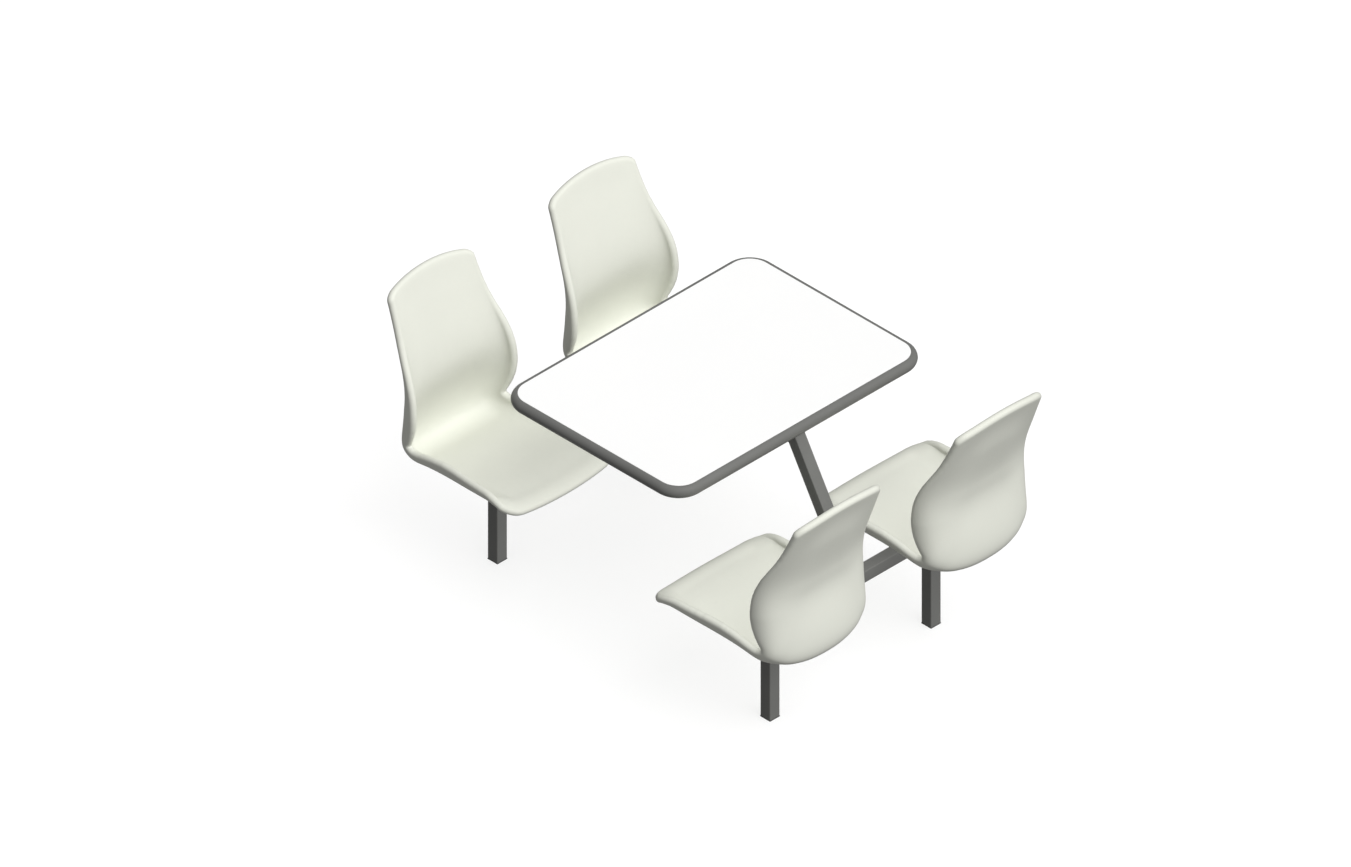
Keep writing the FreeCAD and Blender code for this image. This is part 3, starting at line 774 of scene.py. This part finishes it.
def weldPaths():  # open lines round the joints of the frame
    paths = []
    corner = tube["corner"]
    railLow, railHigh = boxOf("rear_rail")
    half = (railHigh.y - railLow.y) / 2
    middleY, middleZ = (railLow.y + railHigh.y) / 2, (railLow.z + railHigh.z) / 2
    top = railHigh.z
    foot, head, halfCut = strutShape("rear_strut")
    strutTop = boxOf("rear_strut")[1].z
    bearerLow = boxOf("top_bearer")[0].z
    slope = (foot - head) / (strutTop - top)
    short = half - corner  # the flat's end, before the round corner
    inner, outer = head - halfCut, head + halfCut
    reach = inner + slope * (strutTop - bearerLow)
    for sideY in (-1, 1):
        for sideX in (-1, 1):
            endX, postX = sideX * railHigh.x, sideX * (railHigh.x + half)
            paths.append([(endX, sideY * (middleY + y), middleZ + z) for y, z in (  # rail to post
                (half, half), (half, -short), (short, -half),
                (-short, -half), (-half, -short), (-half, half))])
            paths.append([(postX + sideX * x, sideY * middleY + y, top) for x, y in (  # to flange
                (-half, half), (short, half), (half, short),
                (half, -short), (short, -half), (-half, -half))])
        paths.append([(x, sideY * y, top) for x, y in (  # strut to rail
            (-half, middleY - half), (half, middleY - half), (half, middleY + half),
            (-half, middleY + half), (-half, middleY - half))])
        paths.append([(x, sideY * y, strutTop) for x, y in (  # strut to plate
            (-half, inner), (-half, outer), (half, outer), (half, inner))])
        paths.append([(x, sideY * y, z) for x, y, z in (  # bearer to strut
            (-half, inner, strutTop), (-half, reach, bearerLow),
            (half, reach, bearerLow), (half, inner, strutTop))])
    return paths


def buildWelds():
    points, edges = [], []
    for path in weldPaths():
        edges += [(len(points) + index, len(points) + index + 1) for index in range(len(path) - 1)]
        points += path
    mesh = weldRecipe("frameWeldRecipe", materials["frame_grey"]).mesh(points, edges)
    finishPiece("frameWelds", mesh, materials["frame_grey"], "frame")
    recipe = weldRecipe("plateWeldRecipe", materials["plate_black"])
    steps = plateWeld["steps"]
    for seat in seatSides:
        low, high = boxOf("spindle_" + seat)
        middle, radius = (low + high) / 2, (high.x - low.x) / 2
        turns = [2 * math.pi * step / steps for step in range(steps + 1)]
        ring = [(middle.x + radius * math.cos(turn), middle.y + radius * math.sin(turn), high.z)
                for turn in turns]
        mesh = recipe.mesh(ring, [(index, index + 1) for index in range(steps)])
        finishPiece("plateWeld_" + seat, mesh, materials["plate_black"], "seat_" + seat)


buildWelds()
print("stage: welds")


hexScrew = {
    "acrossFlats": 0.010,
    "chamfer": 0.0006,
    "washerFace": 0.0006,
    "washerShare": 0.49,  # its radius, of the width across flats
    "seatRadius": 0.003,
    "tableRadius": 0.0025,
    "washerSides": 32,
    "shankSides": 24,
    "seed": 3,  # how far round each one was turned
}
boss = {
    "half": 0.010,
    "ribLength": 0.036,
    "ribThickness": 0.0025,
    "ribShare": 0.72,  # of the boss's height
    "pitchX": 0.144,
    "pitchY": 0.112,
    "highest": 0.05,  # what the pan rises above the sitting level at most
    "nearPoints": 4,  # of the shell's points, of which the highest counts
}


def screwRecipe(name, radius, shank, headHeight):
    shared = {key: hexScrew[key] for key in ("acrossFlats", "chamfer", "washerFace", "seed")}
    recipe = Recipe(name, {**shared, "radius": radius, "shank": shank, "headHeight": headHeight})
    given = recipe.given
    flats = given["acrossFlats"]
    corner = recipe.math("DIVIDE", flats, math.sqrt(3))
    half = recipe.math("MULTIPLY", flats, 0.5)
    ends = recipe.math("ADD", given["chamfer"], given["washerFace"])
    plain = recipe.math("SUBTRACT", given["headHeight"], ends)
    depth = recipe.math("ADD", recipe.math("MULTIPLY", plain, 0.5), given["washerFace"])
    hexagon = recipe.lifted(recipe.cylinder(6, corner, plain), recipe.math("MULTIPLY", depth, -1.0))
    slant = recipe.node("GeometryNodeMeshCone", {
        "Vertices": 6, "Radius Top": corner, "Radius Bottom": half, "Depth": given["chamfer"]})
    slant = recipe.lifted(slant, recipe.math("MULTIPLY", given["headHeight"], -1.0))
    washerRadius = recipe.math("MULTIPLY", flats, hexScrew["washerShare"])
    washer = recipe.cylinder(hexScrew["washerSides"], washerRadius, given["washerFace"])
    washer = recipe.lifted(washer, recipe.math("MULTIPLY", given["washerFace"], -0.5))
    shaft = recipe.cylinder(hexScrew["shankSides"], given["radius"], given["shank"])
    shaft = recipe.lifted(shaft, recipe.math("MULTIPLY", given["shank"], 0.5))
    spin = recipe.node("FunctionNodeRandomValue", {"Max": 2 * math.pi, "Seed": given["seed"]},
                       data_type="FLOAT")
    screws = recipe.node("GeometryNodeInstanceOnPoints", {
        "Points": given["Source"], "Instance": recipe.joined(hexagon, slant, washer, shaft),
        "Rotation": recipe.vector(z=spin)})
    return recipe.finish(screws, materials["zinc_steel"])


def shellHeight(x, y):  # sitting surface beside the seat's axis, from the sitting level
    pan = shellPoints[shellPoints[:, 2] <= boss["highest"]]
    gaps = np.hypot(pan[:, 0] - x, pan[:, 1] - y)
    return pan[np.argsort(gaps)[:boss["nearPoints"]], 2].max()


def buildSeatFixings():
    low, high = boxOf("seat_screws_front_left")
    plateLow, plateHigh = boxOf("seat_plate_front_left")
    recipe = screwRecipe("seatScrewRecipe", hexScrew["seatRadius"],
                         high.z - plateLow.z, plateLow.z - low.z)
    sizes = {key: boss[key] for key in ("half", "ribLength", "ribThickness", "ribShare")}
    blocks = Recipe("bossRecipe", sizes)
    given = blocks.given
    rise = blocks.node("GeometryNodeInputNamedAttribute", {"Name": "rise"})
    width = blocks.math("MULTIPLY", given["half"], 2.0)
    post = blocks.node("GeometryNodeMeshCube", {"Size": blocks.vector(width, width, 1.0)})
    post = blocks.lifted(post, 0.5)
    lift = blocks.math("SUBTRACT", 1.0, blocks.math("MULTIPLY", given["ribShare"], 0.5))
    ribs = []
    for x, y in (("ribLength", "ribThickness"), ("ribThickness", "ribLength")):
        size = blocks.vector(given[x], given[y], given["ribShare"])
        rib = blocks.node("GeometryNodeMeshCube", {"Size": size})
        ribs.append(blocks.lifted(rib, lift))
    placed = blocks.node("GeometryNodeInstanceOnPoints", {
        "Points": given["Source"], "Instance": blocks.joined(post, *ribs),
        "Scale": blocks.vector(1.0, 1.0, rise)})
    blocks.finish(placed, materials["seat_cream"])
    for seat, sideY in seatSides.items():
        axis = sum(boxOf("spindle_" + seat), Vector()) / 2
        points, heads, rises = [], [], []
        for x in (-boss["pitchX"] / 2, boss["pitchX"] / 2):
            for y in (-boss["pitchY"] / 2, boss["pitchY"] / 2):
                points.append((axis.x - sideY * x, axis.y - sideY * y, plateHigh.z))
                heads.append((points[-1][0], points[-1][1], plateLow.z))
                rises.append(seatShell["rise"] + shellHeight(x, y) - seatShell["wall"] / 2)
        mesh = recipe.mesh(heads)
        finishPiece("seatScrews_" + seat, mesh, materials["zinc_steel"], "seat_" + seat,
                    ("seat_screws_" + seat,))
        mesh = blocks.mesh(points, marks={"rise": rises})
        finishPiece("seatBosses_" + seat, mesh, materials["seat_cream"], "seat_" + seat)
    low, high = boxOf("table_screws")
    plateLow, plateHigh = boxOf("rear_top_plate")
    recipe = screwRecipe("tableScrewRecipe", hexScrew["tableRadius"],
                         high.z - plateLow.z, plateLow.z - low.z)
    reachX = high.x - hexScrew["acrossFlats"] / math.sqrt(3)
    reachY = high.y - hexScrew["acrossFlats"] / 2
    points = [(x, y, plateLow.z) for x in (-reachX, reachX) for y in (-reachY, reachY)]
    finishPiece("tableScrews", recipe.mesh(points), materials["zinc_steel"], "frame",
                ("table_screws",))


buildSeatFixings()
print("stage: screws and bosses")


studio = {
    "scale": 3.8545,  # metres across the picture
    "azimuth": -45.0,
    "elevation": 35.2644,
    "shiftRight": -0.1106,  # of the view's middle from the floor's origin
    "shiftUp": 0.4492,
    "distance": 9.0,
    "sight": 100.0,  # how far the camera sees
    "floorSize": 40.0,
    "floorColour": (0.93, 0.93, 0.93, 1),
    "floorRoughness": 0.9,
    "floorGlow": 0.06,
    "skyStrength": 0.25,
    "keyFrom": (0.03, -0.62, 0.78),  # where both suns shine from
    "keyAngle": 60.0,
    "keyStrength": 0.6,  # with very soft shadows
    "fillAngle": 6.0,
    "fillStrength": 2.95,  # without shadows
}


def buildStudio():
    size = studio["floorSize"] / 2
    mesh = bpy.data.meshes.new("studioFloor")
    corners = [(-size, -size, 0), (size, -size, 0), (size, size, 0), (-size, size, 0)]
    mesh.from_pydata(corners, [], [(0, 1, 2, 3)])
    floor = bpy.data.objects.new("studioFloor", mesh)
    bpy.context.scene.collection.objects.link(floor)
    paint = Paint("studioFloorPaint")
    for label, value in (("Base Color", studio["floorColour"]),
                         ("Roughness", studio["floorRoughness"]),
                         ("Emission Color", (1, 1, 1, 1)),
                         ("Emission Strength", studio["floorGlow"])):
        paint.put(value, paint.shader[label])
    mesh.materials.append(paint.material)
    floor.visible_diffuse = False  # it throws no light back up
    floor.visible_glossy = False

    world = bpy.data.worlds.new("studioSky")
    world.use_nodes = True
    sky = world.node_tree.nodes["Background"]
    sky.inputs["Color"].default_value = (1, 1, 1, 1)
    sky.inputs["Strength"].default_value = studio["skyStrength"]
    bpy.context.scene.world = world
    for name in ("key", "fill"):
        light = bpy.data.lights.new(name, "SUN")
        light.energy = studio[name + "Strength"]
        light.angle = math.radians(studio[name + "Angle"])
        light.use_shadow = name == "key"
        holder = bpy.data.objects.new(name, light)
        holder.visible_glossy = name == "key"
        holder.rotation_euler = Vector(studio["keyFrom"]).to_track_quat("Z", "Y").to_euler()
        bpy.context.scene.collection.objects.link(holder)


def buildCamera():
    azimuth = math.radians(studio["azimuth"])
    elevation = math.radians(studio["elevation"])
    toCamera = Vector((math.sin(azimuth) * math.cos(elevation),
                       -math.cos(azimuth) * math.cos(elevation), math.sin(elevation)))
    right = Vector((math.cos(azimuth), math.sin(azimuth), 0))
    up = toCamera.cross(right)
    data = bpy.data.cameras.new("camera")
    data.type = "ORTHO"
    data.ortho_scale = studio["scale"]
    data.clip_end = studio["sight"]
    camera = bpy.data.objects.new("camera", data)
    middle = right * studio["shiftRight"] + up * studio["shiftUp"]
    camera.location = middle + toCamera * studio["distance"]
    camera.rotation_euler = Matrix((right, up, toCamera)).transposed().to_euler()
    bpy.context.scene.collection.objects.link(camera)
    bpy.context.scene.camera = camera


buildStudio()
buildCamera()
bpy.context.scene.view_settings.view_transform = "Standard"
print("stage: studio")
